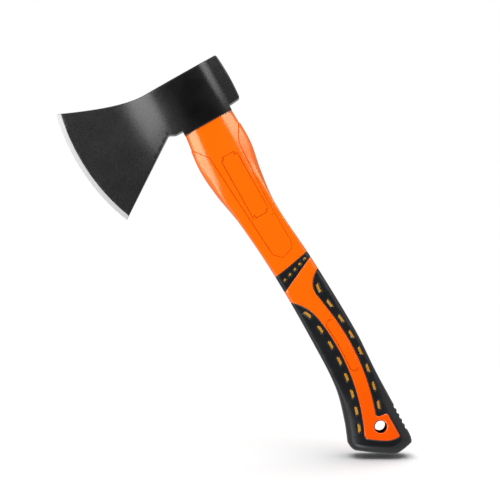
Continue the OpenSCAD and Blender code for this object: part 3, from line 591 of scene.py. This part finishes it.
# Grip sleeve: the black rubber grip and butt, moulded over the jacket in one shot. It has a window on each face, a
# pocket for every dash, and five notches for the thumb across the back of the butt.
DASH_COUNT, DASH_LENGTH, DASH_WIDTH, DASH_GAP, DASH_HOOK = 8, 8.2, 2.4, 4.2, 2.2
FRONT_DASH_Z, FRONT_DASH_PITCH, FRONT_DASH_CLOSING = 111.6, 15.9, 0.36
REAR_DASH_Z, REAR_DASH_PITCH = 126.5, 15.68
THUMB_COUNT, THUMB_PITCH, THUMB_Z, THUMB_RADIUS, THUMB_DEPTH = 5, 4.9, 7.8, 2.3, 1.2
THUMB_MARGIN, THUMB_SIDE, THUMB_LEVEL_STEP, THUMB_GIRTH_STEP = 3, 0.62, 0.35, 0.5
dash_k = np.arange(DASH_COUNT)
front_dash_z = FRONT_DASH_Z - FRONT_DASH_PITCH * dash_k + FRONT_DASH_CLOSING * dash_k * (dash_k - 1) / 2
rear_dash_z = REAR_DASH_Z - REAR_DASH_PITCH * dash_k


def dash_outline(z, side, hook, grow=0.0):
    """Outline of one dash beside the strip, with round ends; hook sweeps its upper end sideways."""
    q = np.radians(np.linspace(0, 180, 13))
    end = (DASH_WIDTH / 2 + grow) * np.stack((np.cos(q), np.sin(q)), axis=1)
    straight = np.linspace(1, -1, 9)[1:-1, None] * (0, (DASH_LENGTH - DASH_WIDTH) / 2)
    half = np.vstack((end + (0, (DASH_LENGTH - DASH_WIDTH) / 2), straight - (DASH_WIDTH / 2 + grow, 0)))
    points = np.vstack((half, -half))
    points[:, 0] += hook * (points[:, 1] / DASH_LENGTH + 0.5) ** 2
    lean = math.asin((min(z, TONGUE_Z) - STRIP_Z) / STRIP_RADIUS)
    turned = np.stack((points[:, 0] * math.cos(lean) - points[:, 1] * math.sin(lean),
                       points[:, 0] * math.sin(lean) + points[:, 1] * math.cos(lean)), axis=1)
    return on_pattern(turned + (strip_edge(z, side) + side * DASH_GAP / math.cos(lean), z))


bm = bmesh.new()
foot = SOLE_LEVEL - SOLE_RADIUS * math.pi / 2
grip_foot = np.array([(HALF_GIRTH + PAST, foot - PAST), (-PAST, foot - PAST)])
pockets = [dash_outline(z, side, side * DASH_HOOK * (k == 0), INLAY_GAP)
           for side, row in ((-1, front_dash_z), (1, rear_dash_z)) for k, z in enumerate(row)]
grip = cover(bm, np.vstack((window, grip_foot)), *pockets)
for v in bm.verts:
    v.co.z = -RUBBER_EDGE
step(bm, grip, rounded(RUBBER_EDGE))
cut(bm, (0, foot, 0), (0, 1, 0), clear_inner=True)
trim(bm, np.concatenate((np.arange(foot + 0.7, SOLE_LEVEL + 2, 0.7), np.arange(SOLE_LEVEL + 4, 140, 3.0))))
thumb_z = THUMB_Z - THUMB_PITCH * np.arange(THUMB_COUNT)
thumb_low, thumb_high = thumb_z[-1] - THUMB_MARGIN, thumb_z[0] + THUMB_MARGIN
thumb_side = THUMB_SIDE * HALF_GIRTH
for z in np.arange(thumb_low, thumb_high, THUMB_LEVEL_STEP):
    cut(bm, (0, z, 0), (0, 1, 0), [f for f in bm.faces if f.calc_center_median().x > thumb_side])
for girth in np.arange(thumb_side, HALF_GIRTH, THUMB_GIRTH_STEP):
    cut(bm, (girth, 0, 0), (1, 0, 0), [f for f in bm.faces if thumb_low < f.calc_center_median().y < thumb_high])
sole = [v for v in bm.verts if abs(v.co.y - foot) < 1e-3]
wrap(bm)
for v in bm.verts:
    for z in thumb_z:
        if v.co.x > 0 and abs(v.co.z - z) < THUMB_RADIUS:
            bottom = float(reach(BACK_REACH, z)) + THUMB_RADIUS - THUMB_DEPTH
            v.co.x = min(v.co.x, bottom - math.sqrt(THUMB_RADIUS ** 2 - (v.co.z - z) ** 2))
sole_edges = list({e for v in sole for e in v.link_edges if e.other_vert(v) in sole and len(e.link_faces) == 1})
raise_ring(bm, sole_edges, lambda p: Vector((p.x, 0, p.z)))
add_far_side(bm)

grip_sleeve = new_piece(bm, "rubber_grip", grip_rubber, crease=32)
give_wall(grip_sleeve, RUBBER_WALL)
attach(grip_sleeve, "root")
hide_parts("grip_sleeve")


# Inlays: amber plastic dashes along both sides of the strip, and dots on the band. They are moulded into the pockets
# of the rubber and stand a little proud of it.
INLAY_PROUD, INLAY_EDGE, INLAY_WALL, INLAY_SHRINK = 0.15, 0.35, 2.2, 0.42
inlay_amber = moulded_finish(
    "inlay_amber", pits=1500.0, clouds=240.0, tones=((0.45, 0.19, 0.008), (0.54, 0.24, 0.012)),
    roughness=(0.38, 0.48), strength=0.3, distance=0.00008)


def inlays(outlines):
    """Closed inlays with rounded tops, on both faces of the handle."""
    bm = bmesh.new()
    for points in outlines:
        top = cover(bm, points)
        for v in {v for f in top for v in f.verts}:
            v.co.z = INLAY_PROUD - INLAY_EDGE
        step(bm, top, rounded(INLAY_EDGE))
    wrap(bm)
    add_far_side(bm)
    return bm


for name, node_name, outlines in (
        ("front_dashes", "front_dash_inlays",
         [dash_outline(z, -1, -DASH_HOOK * (k == 0), -INLAY_SHRINK) for k, z in enumerate(front_dash_z)]),
        ("rear_dashes", "rear_dash_inlays",
         [dash_outline(z, 1, DASH_HOOK * (k == 0), -INLAY_SHRINK) for k, z in enumerate(rear_dash_z)]),
        ("band_dots", "band_dot_inlays",
         [on_pattern((1 - 2 * INLAY_SHRINK / DOT_DIAMETER) * (p - p.mean(axis=0)) + p.mean(axis=0))
          for p in dot_outlines])):
    inlay = new_piece(inlays(outlines), name, inlay_amber)
    give_wall(inlay, INLAY_WALL)
    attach(inlay, "root")
    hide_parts(node_name)


# Hang hole sleeve: a black plastic liner that keeps a cord off the edge of the plate. It is pressed through the
# jacket, and its mouth is rounded at both faces.
LINER_HALF, MOUTH_RADIUS = 12.5, 0.28
bm = bmesh.new()
middle = HOLE_RADIUS + LINER_WALL / 2
bmesh.ops.create_grid(bm, x_segments=1, y_segments=1, size=1.0)
for v in bm.verts:
    v.co = (middle + v.co.x * LINER_WALL / 2, v.co.y * LINER_HALF, 0)
bmesh.ops.bevel(bm, geom=bm.verts[:], offset=MOUTH_RADIUS, segments=3, profile=0.5, affect="VERTICES", material=-1)
bmesh.ops.delete(bm, geom=bm.faces[:], context="FACES_ONLY")
bmesh.ops.spin(bm, geom=bm.verts[:] + bm.edges[:], cent=(0, 0, 0), axis=(0, 1, 0), dvec=(0, 0, 0),
               angle=2 * math.pi, steps=72, use_merge=True)
bmesh.ops.remove_doubles(bm, verts=bm.verts, dist=0.001)
bmesh.ops.recalc_face_normals(bm, faces=bm.faces)

liner_black = moulded_finish(
    "liner_black", pits=1400.0, clouds=150.0, tones=((0.008, 0.005, 0.003), (0.014, 0.008, 0.004)),
    roughness=(0.75, 0.85), strength=0.3, distance=0.00008, Specular_IOR_Level=0.0)

liner = new_piece(bm, "hole_liner", liner_black)
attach(liner, "root")
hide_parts("hang_hole_sleeve")


# Axe head: one steel forging with a black baked coat. The blade swells into the eye, the edge is ground bright on
# both sides, and a collar under the eye sits on the jacket.
EDGE_X, EDGE_Z, EDGE_RADIUS, BEVEL_WIDTH = 62.4, 321.5, 176.0, 3.8
BEVEL_THICK, EDGE_LAND, BLADE_TAPER = 2.6, 0.3, 0.1375
TOE_Z, HEEL_Z, TOP_Z, UNDER_Z, POLL_X = 362.3, 255.4, 339.2, 297.0, 33.5
TOP_FLAT_X, TOP_RISE_X, COLLAR_FRONT, COLLAR_BACK = -36.0, -58.0, -23.3, 21.7
NOTCH, SLOPE_FOOT, NOTCH_CORNER = (-35.4, 299.9), (-30.0, 297.0), 1.4
EYE_THICK, POLL_THICK, POLL_FACE_THICK, POLL_FRONT = 30.0, 25.6, 24.4, 25.0
SWELL_X, SWELL_RUN, CHEEK_X, CHEEK_BACK, CHEEK_SAG, CHEEK_RUN = -39.5, 16.0, -2.0, 14.0, 1.6, 14.0
CROWN_Z, CROWN_RUN, CROWN_SAG = 318.0, 20.0, 1.4
POLL_CORNER, POLL_CROWN, HEAD_EDGE, THIN_EDGE_SHARE = 2.2, 0.9, 0.7, 0.5
EYE_LENGTH, EYE_WIDTH, EYE_CHAMFER, EYE_DEPTH = 31.0, 18.0, 0.7, 6.0


def half_thickness(x, z):
    """Half the thickness of the head: ground bevel, tapering blade, and the eye that swells out of it."""
    inside = EDGE_RADIUS - BEVEL_WIDTH - np.hypot(x - EDGE_X, z - EDGE_Z)
    ground = (EDGE_LAND + (BEVEL_THICK - EDGE_LAND) * np.clip(1 + inside / BEVEL_WIDTH, 0, 1)) / 2
    blade = (BEVEL_THICK + BLADE_TAPER * np.maximum(inside, 0)) / 2
    crown = CROWN_SAG * ((z - CROWN_Z) / CROWN_RUN) ** 2
    cheek = EYE_THICK - CHEEK_SAG * (1 - np.exp(-((x - CHEEK_X) / CHEEK_RUN) ** 2)) - crown
    front = blade + (cheek / 2 - blade) * (1 + np.tanh((x - SWELL_X) / SWELL_RUN)) / 2
    poll_share = np.clip((x - POLL_FRONT) / (POLL_X - POLL_FRONT), 0, 1)
    poll = POLL_THICK + (POLL_FACE_THICK - POLL_THICK) * poll_share - crown
    behind = cheek + (poll - cheek) * ease((x - CHEEK_BACK) / (POLL_FRONT - CHEEK_BACK))
    return np.where(inside < 0, ground, np.where(x < 0, front, behind / 2))


def edge_point(z, radius=EDGE_RADIUS):
    """Point of the edge, or of the line where the grinding starts, at a height."""
    return np.array((EDGE_X - math.sqrt(radius ** 2 - (z - EDGE_Z) ** 2), z))


def split_at_bevel(path):
    """Part of a path before the grinding starts, the point where it starts, and the ground part."""
    far = np.hypot(path[:, 0] - EDGE_X, path[:, 1] - EDGE_Z)
    k = int(np.argmax(far > EDGE_RADIUS - BEVEL_WIDTH))
    share = (EDGE_RADIUS - BEVEL_WIDTH - far[k - 1]) / (far[k] - far[k - 1])
    return path[:k], path[k - 1] + share * (path[k] - path[k - 1]), path[k:]


toe, heel = edge_point(TOE_Z), edge_point(HEEL_Z)
notch = corner(heel, NOTCH, SLOPE_FOOT, NOTCH_CORNER)
slope_foot = corner(NOTCH, SLOPE_FOOT, (COLLAR_FRONT, UNDER_Z), NOTCH_CORNER)
collar = np.array([(COLLAR_FRONT, UNDER_Z), (COLLAR_FRONT, SEAT_Z), (COLLAR_BACK, SEAT_Z), (COLLAR_BACK, UNDER_Z)])
top_coat, top_start, top_ground = split_at_bevel(bend((TOP_FLAT_X, TOP_Z), (TOP_RISE_X, TOP_Z), toe, 60))
beard = notch[0] + np.linspace(0, 1, 60)[:, None] * (heel - notch[0])
beard_coat, beard_start, beard_ground = split_at_bevel(beard)
grind_line = np.array([edge_point(z, EDGE_RADIUS - BEVEL_WIDTH)
                       for z in np.linspace(top_start[1], beard_start[1], 90)[1:-1]])
edge_line = np.array([edge_point(z) for z in np.linspace(TOE_Z, HEEL_Z, 100)[1:-1]])
poll_edge = POLL_X - POLL_CROWN
poll_low = corner((COLLAR_BACK, UNDER_Z), (poll_edge, UNDER_Z + 1), (poll_edge, TOP_Z), POLL_CORNER)
poll_top = corner((poll_edge, SEAT_Z), (poll_edge, TOP_Z), (0, TOP_Z), POLL_CORNER)
poll_z = np.linspace(poll_low[-1][1], poll_top[0][1], 14)[1:-1]
crown = 1 - ((poll_z - poll_z.mean()) / (poll_top[0][1] - poll_z.mean())) ** 2
poll_face = np.stack((poll_edge + POLL_CROWN * crown, poll_z), axis=1)
flat_x = np.linspace(poll_edge - POLL_CORNER, TOP_FLAT_X, 46)[1:-1]
flat_top = np.stack((flat_x, np.full_like(flat_x, TOP_Z)), axis=1)

bm = bmesh.new()
coat = cover(bm, np.vstack((poll_top, flat_top, top_coat, top_start, grind_line, beard_start, beard_coat[::-1],
                            notch, slope_foot, collar, poll_low, poll_face)))
ground = cover(bm, np.vstack((top_start, top_ground, edge_line, beard_ground[::-1], beard_start, grind_line[::-1])))
for f in ground:
    f.material_index = 1
for v in bm.verts:
    v.co.z = -HEAD_EDGE
step(bm, coat + ground, rounded(HEAD_EDGE, 4))
for x in np.concatenate((np.arange(-112, -60, 4), np.arange(-60, 34, 1.5))):
    cut(bm, (x, 0, 0), (1, 0, 0))
for z in np.arange(256, 362, 4):
    cut(bm, (0, z, 0), (0, 1, 0))
flat = np.array([v.co[:] for v in bm.verts])
half = half_thickness(flat[:, 0], flat[:, 1])
drop = flat[:, 2] * np.minimum(1, THIN_EDGE_SHARE * half / HEAD_EDGE)
for v, h, d in zip(bm.verts, half, drop):
    v.co = (v.co.x, -(h + d), v.co.y)
skirt = [e for e in bm.edges if len(e.link_faces) == 1
         and not all(v.co.z > TOP_Z - 1e-3 and v.co.x > TOP_FLAT_X - 1e-3 for v in e.verts)]
raise_ring(bm, skirt, lambda p: Vector((p.x, 0, p.z)))
add_far_side(bm)
top_border = [e for e in bm.edges if len(e.link_faces) == 1]
eye_ring = oval_ring(bm, EYE_LENGTH / 2 + EYE_CHAMFER, EYE_WIDTH / 2 + EYE_CHAMFER, TOP_Z)
for f in bmesh.ops.triangle_fill(bm, use_beauty=True, edges=top_border + eye_ring, normal=(0, 0, 1))["geom"]:
    if isinstance(f, bmesh.types.BMFace):
        f.material_index = 2
eye_ring = raise_ring(bm, eye_ring, drawn_in(
    TOP_Z - EYE_CHAMFER, EYE_LENGTH / (EYE_LENGTH + 2 * EYE_CHAMFER), EYE_WIDTH / (EYE_WIDTH + 2 * EYE_CHAMFER)))
eye_ring = raise_ring(bm, eye_ring, drawn_in(TOP_Z - EYE_DEPTH))
bmesh.ops.contextual_create(bm, geom=eye_ring)
bmesh.ops.recalc_face_normals(bm, faces=bm.faces)

# Round the eye the coat's colour is darker than on the blade: a painted dark reflection
head_coat, tree, shader, place = new_finish("baked_black_coat")
pit_height, cloud = add_grain(tree, place, 900.0, 55.0)
blade_coat_tone = ramp(tree, pit_height, (0.35, 0.012), (0.65, 0.022))
# Painted dark reflection on the eye's cheeks, a little uneven over the clouds
eye_painted_dark_reflection = ramp(tree, cloud, (0.3, 0.002), (0.7, 0.004))
along = add_node(tree, "ShaderNodeSeparateXYZ", {"Vector": place}).outputs["X"]
from_cheek = add_node(tree, "ShaderNodeMath", {0: along, 1: -CHEEK_X / 1000}, operation="ADD").outputs[0]
# Mask of the painted dark reflection: full on the eye's flat cheeks, gone about 26 mm to either side of their middle
eye_painted_reflection_mask = add_node(tree, "ShaderNodeMapRange", {
    "Value": add_node(tree, "ShaderNodeMath", {0: from_cheek}, operation="ABSOLUTE").outputs[0],
    "From Min": 0.026, "From Max": 0.008}, interpolation_type="SMOOTHSTEP")
coat_tone_with_painted_reflection = add_node(tree, "ShaderNodeMix", {
    "Factor": eye_painted_reflection_mask.outputs["Result"], "A": blade_coat_tone, "B": eye_painted_dark_reflection}, data_type="RGBA")
tree.links.new(coat_tone_with_painted_reflection.outputs["Result"], shader.inputs["Base Color"])
tree.links.new(ramp(tree, cloud, (0.3, 0.2), (0.7, 0.25)), shader.inputs["Roughness"])
add_bump(tree, shader, pit_height, 0.35, 0.0001)

ground_steel, tree, shader, place = new_finish("ground_steel", Metallic=1.0)
grind_lines = add_node(tree, "ShaderNodeMapping", {"Vector": place, "Scale": (120, 120, 4200)}).outputs["Vector"]
grind = add_node(tree, "ShaderNodeTexNoise", {"Vector": grind_lines, "Scale": 1.0, "Detail": 3.0}).outputs["Fac"]
tree.links.new(ramp(tree, grind, (0.3, 0.36), (0.7, 0.41)), shader.inputs["Base Color"])
tree.links.new(ramp(tree, grind, (0.3, 0.52), (0.7, 0.6)), shader.inputs["Roughness"])
add_bump(tree, shader, grind, 0.1, 0.00005)

# The top of the eye keeps its forging scale under the coat
scaled_top = moulded_finish(
    "scaled_top", pits=650.0, clouds=90.0, tones=(0.012, 0.024), roughness=(0.6, 0.75),
    strength=0.6, distance=0.0002, Specular_IOR_Level=0.25)

head = new_piece(bm, "forged_head", head_coat, ground_steel, scaled_top, crease=30)
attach(head, "root")
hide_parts("axe_head")


# Eye resin: black epoxy poured round the core, which locks the head to the handle. It creeps up the wall of the eye
# as it sets.
RESIN_GAP, RESIN_FOOT, CREEP_HEIGHT = 0.02, SEAT_Z + 1, 0.5
CREEP_STEPS = ((0.14, 0.985, 0.975), (0, 0.96, 0.94))
bm = bmesh.new()
rim = oval_ring(bm, EYE_LENGTH / 2 - RESIN_GAP, EYE_WIDTH / 2 - RESIN_GAP, RESIN_TOP + CREEP_HEIGHT)
core_hole = oval_ring(bm, CORE_LENGTH / 2 + RESIN_GAP, CORE_WIDTH / 2 + RESIN_GAP, RESIN_TOP)
pool = rim
for height, along, across in CREEP_STEPS:
    pool = raise_ring(bm, pool, drawn_in(RESIN_TOP + height, along, across))
bmesh.ops.triangle_fill(bm, use_beauty=True, edges=pool + core_hole, normal=(0, 0, 1))
wall = raise_ring(bm, rim, drawn_in(RESIN_FOOT))
well = raise_ring(bm, core_hole, drawn_in(RESIN_FOOT))
bmesh.ops.triangle_fill(bm, use_beauty=True, edges=wall + well, normal=(0, 0, -1))
bmesh.ops.recalc_face_normals(bm, faces=bm.faces)

resin_black = moulded_finish(
    "poured_resin", pits=500.0, clouds=120.0, tones=(0.006, 0.016), roughness=(0.14, 0.3),
    strength=0.3, distance=0.0002)

resin = new_piece(bm, "poured_resin", resin_black)
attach(resin, "root")
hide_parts("eye_resin")


# Studio: a white floor under the butt that tips towards the camera, a large soft box on each side in front of the
# hatchet, weaker ones above, behind and low in front, and white surroundings. The camera stands square to the near
# cheek, with the handle leaning in the frame.
scene = bpy.context.scene
scene.view_settings.view_transform = "Standard"

LEAN, FLOOR_TIP = math.radians(29.4), math.radians(9)
FLOOR_HALF, FLOOR_GAP, FADE_START, FADE_END = 6.0, 0.002, 0.15, 0.45
LAMP_TARGET = Vector((-0.02, 0, 0.18))
CAMERA_PLACE, SENSOR_WIDTH, LENS = (-0.0228, -2.0, 0.1825), 36.0, 170.9
right, up = Vector((math.cos(LEAN), 0, -math.sin(LEAN))), Vector((math.sin(LEAN), 0, math.cos(LEAN)))
bm = bmesh.new()
bmesh.ops.create_grid(bm, x_segments=1, y_segments=1, size=FLOOR_HALF)
bmesh.ops.rotate(bm, cent=(0, 0, 0), verts=bm.verts,
                 matrix=Matrix.Rotation(LEAN, 3, "Y") @ Matrix.Rotation(FLOOR_TIP, 3, "X"))
lowest = min(v.co.dot(up) for v in grip_sleeve.data.vertices)
bmesh.ops.translate(bm, vec=up * (lowest - FLOOR_GAP), verts=bm.verts)
floor_mesh = bpy.data.meshes.new("studio_floor")
bm.to_mesh(floor_mesh)
bm.free()
floor = bpy.data.objects.new("studio_floor", floor_mesh)
scene.collection.objects.link(floor)
floor_white, tree, shader, place = new_finish("floor_white", Roughness=0.9, Specular_IOR_Level=0.0)
shader.inputs["Base Color"].default_value = (0.86, 0.86, 0.86, 1)
from_butt = add_node(tree, "ShaderNodeVectorMath", {0: place}, operation="LENGTH").outputs["Value"]
shown = add_node(tree, "ShaderNodeMapRange", {"Value": from_butt, "From Min": FADE_END, "From Max": FADE_START},
                 interpolation_type="SMOOTHSTEP")
upper_side = add_node(tree, "ShaderNodeMath", {
    0: 1.0, 1: add_node(tree, "ShaderNodeNewGeometry").outputs["Backfacing"]}, operation="SUBTRACT")
tree.links.new(add_node(tree, "ShaderNodeMath", {0: shown.outputs["Result"], 1: upper_side.outputs[0]},
                        operation="MULTIPLY").outputs[0], shader.inputs["Alpha"])
floor_mesh.materials.append(floor_white)
floor.visible_glossy = floor.visible_diffuse = floor.visible_shadow = False

# The boxes light only the hatchet, and a wide lamp straight above lights only the floor
lit_pieces, lit_floor = bpy.data.collections.new("lit_pieces"), bpy.data.collections.new("lit_floor")
for thing in scene.objects:
    if thing.type == "MESH":
        (lit_floor if thing == floor else lit_pieces).objects.link(thing)
floor_light = bpy.data.lights.new("floor_lamp", "SUN")
floor_light.energy, floor_light.angle = 3.15, math.radians(70)
floor_lamp = bpy.data.objects.new("floor_lamp", floor_light)
floor_lamp.rotation_euler = (-up).to_track_quat("-Z", "Y").to_euler()
floor_lamp.light_linking.receiver_collection = lit_floor
scene.collection.objects.link(floor_lamp)


def soft_box(name, place, width, height, power):
    """Rectangular soft light that faces the middle of the hatchet."""
    light = bpy.data.lights.new(name, "AREA")
    light.shape, light.size, light.size_y, light.energy = "RECTANGLE", width, height, power
    lamp = bpy.data.objects.new(name, light)
    lamp.location = place
    lamp.rotation_euler = (LAMP_TARGET - Vector(place)).to_track_quat("-Z", "Y").to_euler()
    lamp.visible_camera = False
    lamp.light_linking.receiver_collection = lit_pieces
    scene.collection.objects.link(lamp)


soft_box("left_box", (-0.853, -0.981, 0.77), 0.85, 0.98, 12.7)
soft_box("right_box", (0.853, -0.981, 0.74), 1.0, 0.98, 13.5)
soft_box("top_box", (-0.2, -0.7, 1.35), 0.9, 0.9, 1.6)
soft_box("back_box", (0.1, 1.5, 0.9), 1.2, 1.0, 7.0)
soft_box("corner_box", (-0.62, -0.58, -0.32), 0.45, 0.45, 3.0)

# White surroundings, dark only behind the camera; the side behind the hatchet gives more soft light and less gloss
world = bpy.data.worlds.new("studio_white")
world.use_nodes = True
scene.world = world
tree = world.node_tree
tree.nodes.clear()
ray = add_node(tree, "ShaderNodeLightPath")
seen = add_node(tree, "ShaderNodeMath", {0: ray.outputs["Is Camera Ray"], 1: ray.outputs["Is Transmission Ray"]},
                operation="MAXIMUM")
around = add_node(tree, "ShaderNodeTexCoord").outputs["Generated"]
heading = add_node(tree, "ShaderNodeSeparateXYZ", {"Vector": around}).outputs["Y"]
room = add_node(tree, "ShaderNodeMapRange", {
    "Value": heading, "From Min": -0.97, "From Max": -0.78, "To Min": 0.02, "To Max": 1.0},
    interpolation_type="SMOOTHSTEP")
behind = add_node(tree, "ShaderNodeMapRange", {"Value": heading, "From Min": -0.1, "From Max": 0.5},
                  interpolation_type="SMOOTHSTEP").outputs["Result"]
soft = add_node(tree, "ShaderNodeMapRange", {"Value": behind, "To Min": 0.2, "To Max": 0.65})
gloss = add_node(tree, "ShaderNodeMapRange", {"Value": behind, "To Min": 0.9, "To Max": 0.5})
level = add_node(tree, "ShaderNodeMapRange", {
    "Value": ray.outputs["Is Glossy Ray"], "To Min": soft.outputs["Result"], "To Max": gloss.outputs["Result"]})
dim = add_node(tree, "ShaderNodeMath", {0: room.outputs["Result"], 1: level.outputs["Result"]},
               operation="MULTIPLY")
lit = add_node(tree, "ShaderNodeBackground", {"Color": (1, 1, 1, 1), "Strength": dim.outputs[0]})
white = add_node(tree, "ShaderNodeBackground", {"Color": (1, 1, 1, 1), "Strength": 1.0})
mixed = add_node(tree, "ShaderNodeMixShader", {0: seen.outputs[0], 1: lit.outputs[0], 2: white.outputs[0]})
add_node(tree, "ShaderNodeOutputWorld", {"Surface": mixed.outputs[0]})

camera = bpy.data.objects.new("camera", bpy.data.cameras.new("camera"))
camera.data.sensor_width, camera.data.lens = SENSOR_WIDTH, LENS
turned = Matrix((right, up, Vector((0, -1, 0)))).transposed().to_4x4()
camera.matrix_world = Matrix.Translation(CAMERA_PLACE) @ turned
scene.collection.objects.link(camera)
scene.camera = camera
